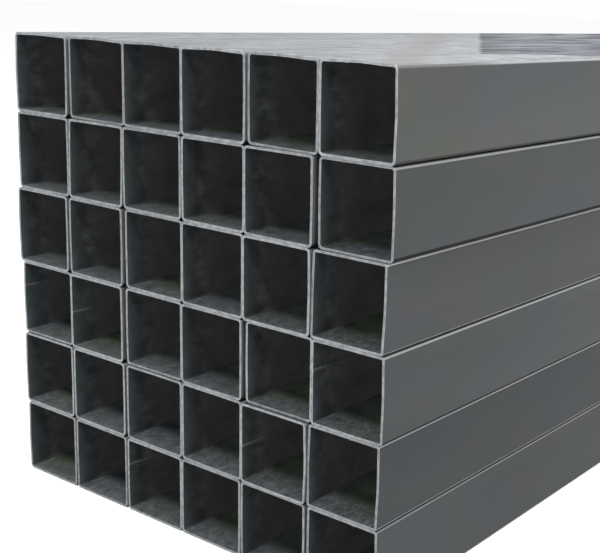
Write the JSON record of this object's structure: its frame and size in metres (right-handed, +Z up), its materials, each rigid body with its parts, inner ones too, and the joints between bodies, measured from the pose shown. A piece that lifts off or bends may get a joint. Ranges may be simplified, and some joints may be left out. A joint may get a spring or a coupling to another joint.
{
  "type": "stack of square steel tubes",
  "caption": "Stack of long square hollow-section steel tubes laid side by side and on top of each other, with open square-cut ends.",
  "frame": {"origin": "on the ground under the middle of the stack, midway along the tubes", "axes": "+X across the stack, +Y along the tubes away from the near ends, +Z up"},
  "size_m": [0.614, 6.004, 0.6],
  "materials": {
    "mill_steel": "satin"
  },
  "bodies": {
    "root": {"tube_row1_col1": "mill_steel", "tube_row1_col2": "mill_steel", "tube_row1_col3": "mill_steel", "tube_row1_col4": "mill_steel", "tube_row1_col5": "mill_steel", "tube_row1_col6": "mill_steel", "tube_row2_col1": "mill_steel", "tube_row2_col2": "mill_steel", "tube_row2_col3": "mill_steel", "tube_row2_col4": "mill_steel", "tube_row2_col5": "mill_steel", "tube_row2_col6": "mill_steel", "tube_row3_col1": "mill_steel", "tube_row3_col2": "mill_steel", "tube_row3_col3": "mill_steel", "tube_row3_col4": "mill_steel", "tube_row3_col5": "mill_steel", "tube_row3_col6": "mill_steel", "tube_row4_col1": "mill_steel", "tube_row4_col2": "mill_steel", "tube_row4_col3": "mill_steel", "tube_row4_col4": "mill_steel", "tube_row4_col5": "mill_steel", "tube_row4_col6": "mill_steel", "tube_row5_col1": "mill_steel", "tube_row5_col2": "mill_steel", "tube_row5_col3": "mill_steel", "tube_row5_col4": "mill_steel", "tube_row5_col5": "mill_steel", "tube_row5_col6": "mill_steel", "tube_row6_col1": "mill_steel", "tube_row6_col2": "mill_steel", "tube_row6_col3": "mill_steel", "tube_row6_col4": "mill_steel", "tube_row6_col5": "mill_steel", "tube_row6_col6": "mill_steel"}
  },
  "joints": []
}
